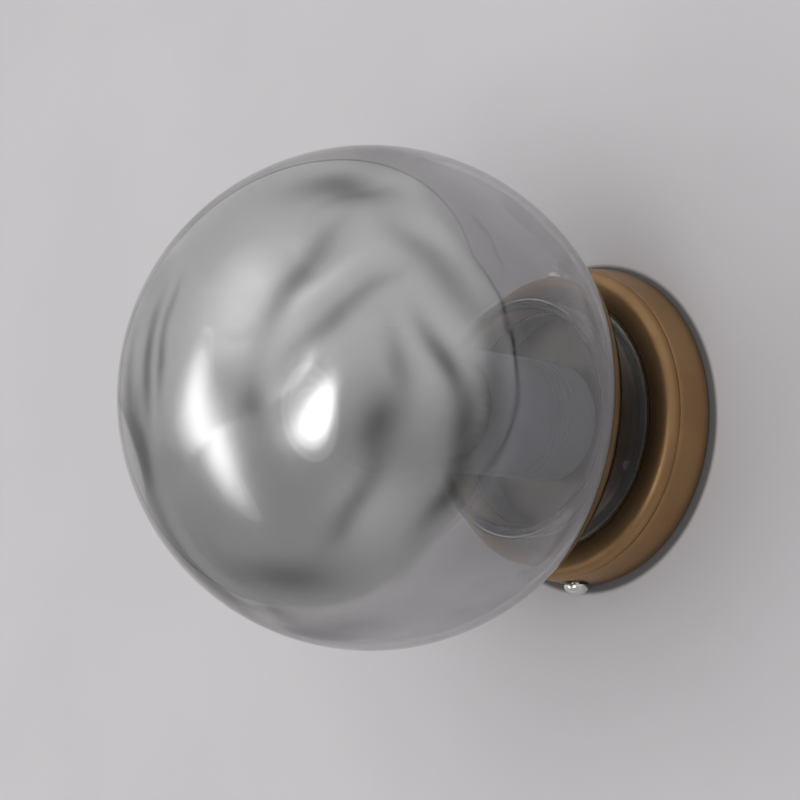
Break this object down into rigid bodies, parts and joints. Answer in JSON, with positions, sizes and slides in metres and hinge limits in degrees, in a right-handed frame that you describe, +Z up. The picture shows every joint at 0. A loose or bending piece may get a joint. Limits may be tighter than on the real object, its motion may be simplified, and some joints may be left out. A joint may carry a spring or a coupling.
{
  "type": "globe wall sconce",
  "caption": "Wall sconce: a smoked, mirror-plated glass globe on a threaded neck, screwed into a round satin brass dish that hangs on a slotted wall bracket.",
  "frame": {"origin": "middle of the wall bracket's back face, on the wall and on the globe's axis", "axes": "+Y into the wall, so the sconce stands out along -Y; +Z up; +X to the right of someone who faces the wall"},
  "size_m": [0.15, 0.1694, 0.15],
  "materials": {
    "brass_paint": "satin metallic brass lacquer on drawn steel",
    "zinc_steel": "zinc plated sheet steel",
    "screw_chrome": "nickel plated pan head screws",
    "silicone": "translucent silicone",
    "plated_glass": "smoke glass with a graded mirror plating, dense at the front and clear at the neck",
    "holder_mould": "pale grey moulded plastic",
    "ceramic": "unglazed steatite",
    "plated_brass": "nickel plated brass",
    "spring_bronze": "phosphor bronze strip",
    "block_mould": "white polyamide",
    "bare_brass": "bare brass",
    "small_screws": "zinc plated steel",
    "live_sleeve": "brown insulation",
    "neutral_sleeve": "blue insulation",
    "earth_sleeve": "green and yellow insulation",
    "cap_glass": "black insulating glass",
    "lamp_white": "white moulded housing",
    "lamp_opal": "opal diffuser"
  },
  "bodies": {
    "fixture": {"wall_bracket": "zinc_steel", "dish": "brass_paint", "dish_screws": "screw_chrome", "gallery": "brass_paint", "nipple": "zinc_steel", "nipple_washer": "zinc_steel", "nipple_nut": "zinc_steel", "holder_cap": "holder_mould", "holder_body": "holder_mould", "holder_insert": "ceramic", "holder_shell": "plated_brass", "centre_contact": "spring_bronze", "holder_terminal_screws": "small_screws", "terminal_block": "block_mould", "terminal_inserts": "bare_brass", "terminal_screws": "small_screws", "block_screw": "small_screws", "live_lead": "live_sleeve", "neutral_lead": "neutral_sleeve", "earth_lead": "earth_sleeve", "earth_tag": "bare_brass", "earth_screw": "small_screws"},
    "neck_seat": {"neck_gasket": "silicone"},
    "globe": {"globe": "plated_glass"},
    "lamp_seat": {"lamp_contact": "plated_brass"},
    "lamp": {"lamp_insulator": "cap_glass", "lamp_cap": "plated_brass", "lamp_skirt": "lamp_white", "lamp_ball": "lamp_opal"}
  },
  "joints": [
    {"name": "globe_travel", "type": "slide", "parent": "fixture", "child": "neck_seat", "axis": [0, -1, 0], "range_m": [0, 0.007]},
    {"name": "globe_turn", "type": "hinge", "parent": "neck_seat", "child": "globe", "pos_m": [0, -0.0944, 0], "axis": [0, -1, 0], "range_deg": [0, 630]},
    {"name": "lamp_travel", "type": "slide", "parent": "fixture", "child": "lamp_seat", "axis": [0, -1, 0], "range_m": [0, 0.01814]},
    {"name": "lamp_turn", "type": "hinge", "parent": "lamp_seat", "child": "lamp", "pos_m": [0, -0.086, 0], "axis": [0, -1, 0], "range_deg": [0, 1800]}
  ],
  "couplings": [
    {"joint": "globe_travel", "follows": "globe_turn", "m_per_rad": 0.00063662},
    {"joint": "lamp_travel", "follows": "lamp_turn", "m_per_rad": 0.0005775}
  ]
}
